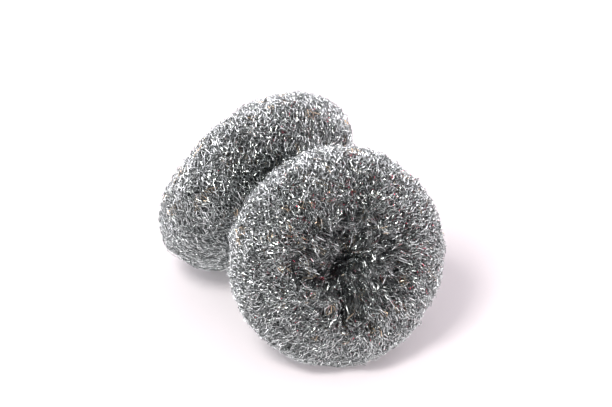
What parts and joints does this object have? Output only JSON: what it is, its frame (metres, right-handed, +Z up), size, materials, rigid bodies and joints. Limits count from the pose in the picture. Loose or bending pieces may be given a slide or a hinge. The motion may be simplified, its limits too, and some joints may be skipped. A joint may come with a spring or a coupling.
{
  "type": "pot scrubber",
  "caption": "Round knitted-wire pot scrubbers leaning on each other: each is a metal mesh sleeve rolled into a fat ring with a dimpled, tied middle, for scouring pans.",
  "frame": {"origin": "middle of the floor that both scrubbers cover, on the surface they stand on", "axes": "+Z up; -Y is the side that the front scrubber's dimpled face looks to; +X to the right seen from there"},
  "size_m": [0.105, 0.1097, 0.0766],
  "materials": {
    "cover_mesh": "bright flat-rolled wire, knitted",
    "inner_mesh": "the same knitted wire, in the shade of the outer turns",
    "tie_wire": "soft drawn binding wire"
  },
  "bodies": {
    "rear_pad": {"rear_cover_turn": "cover_mesh", "rear_second_turn": "inner_mesh", "rear_third_turn": "inner_mesh", "rear_core_roll": "inner_mesh", "rear_gathered_end": "cover_mesh", "rear_closing_tie": "tie_wire"},
    "front_pad": {"front_cover_turn": "cover_mesh", "front_second_turn": "inner_mesh", "front_third_turn": "inner_mesh", "front_core_roll": "inner_mesh", "front_gathered_end": "cover_mesh", "front_closing_tie": "tie_wire"}
  },
  "joints": [
    {"name": "front_pad_lift", "type": "slide", "parent": "rear_pad", "child": "front_pad", "axis": [0.2788, -0.8843, 0.3746], "range_m": [0, 0.12]}
  ]
}
